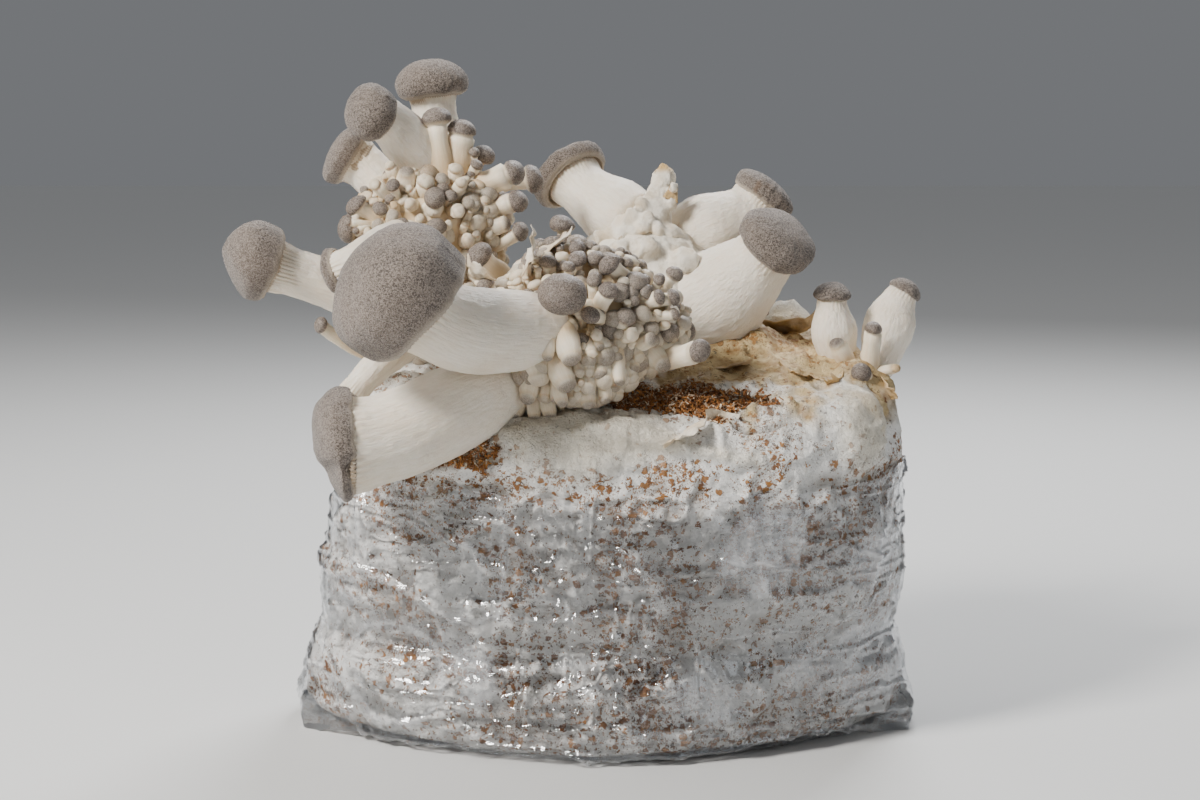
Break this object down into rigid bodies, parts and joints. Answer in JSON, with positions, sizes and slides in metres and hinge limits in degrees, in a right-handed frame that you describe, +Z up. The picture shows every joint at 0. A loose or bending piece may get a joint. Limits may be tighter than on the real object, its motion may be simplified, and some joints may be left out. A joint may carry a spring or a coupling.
{
  "type": "oyster mushroom grow kit",
  "caption": "Mycelium-grown sawdust block in a cut-open clear film bag, fruiting king oyster mushrooms and clusters of small pins from its top.",
  "frame": {"origin": "centre of the bag's flat underside, on the surface that the kit stands on", "axes": "+Z up, +X to the right and -Y towards the side that the great mushroom leans out of"},
  "size_m": [0.2289, 0.1773, 0.2203],
  "materials": {
    "substrate": "matte white mycelium with rust-brown sawdust flecks",
    "clear_film": "clear glossy wrinkled film",
    "mycelium": "matte white skin with ochre patches",
    "stem_flesh": "matte cream, fine fibres along the stem",
    "cap_felt": "matte grey-brown felt with pale fibres",
    "pin_flesh": "matte cream with yellow-brown hollows and grey tips"
  },
  "bodies": {
    "root": {"aborted_knob": "mycelium", "back_cap": "cap_felt", "back_stem": "stem_flesh", "ball_pin": "pin_flesh", "behind_pin": "pin_flesh", "bud_pin": "pin_flesh", "crown_cap": "cap_felt", "crown_stem": "stem_flesh", "far_cap": "cap_felt", "far_stem": "stem_flesh", "front_cluster": "pin_flesh", "great_cap": "cap_felt", "great_stem": "stem_flesh", "grow_bag": "clear_film", "hidden_cap": "cap_felt", "hidden_stem": "stem_flesh", "knuckle_pin": "pin_flesh", "left_twin_cap": "cap_felt", "left_twin_stem": "stem_flesh", "lookout_pin": "pin_flesh", "lower_pin": "pin_flesh", "lowest_pin": "pin_flesh", "mycelium_mound": "mycelium", "nested_cap": "cap_felt", "nested_stem": "stem_flesh", "nub_pin": "pin_flesh", "pushed_pin": "pin_flesh", "rear_cap": "cap_felt", "rear_stem": "stem_flesh", "resting_pin": "pin_flesh", "right_cap": "cap_felt", "right_stem": "stem_flesh", "right_twin_cap": "cap_felt", "right_twin_stem": "stem_flesh", "round_cap": "cap_felt", "round_stem": "stem_flesh", "shoulder_cap": "cap_felt", "shoulder_stem": "stem_flesh", "sideways_pin": "pin_flesh", "small_twin_pin": "pin_flesh", "sprout_pin": "pin_flesh", "stub_pin": "pin_flesh", "substrate_block": "substrate", "thumb_pin": "pin_flesh", "trumpet_cap": "cap_felt", "trumpet_stem": "stem_flesh", "tucked_cap": "cap_felt", "tucked_stem": "stem_flesh", "upper_cluster": "pin_flesh"}
  },
  "joints": []
}
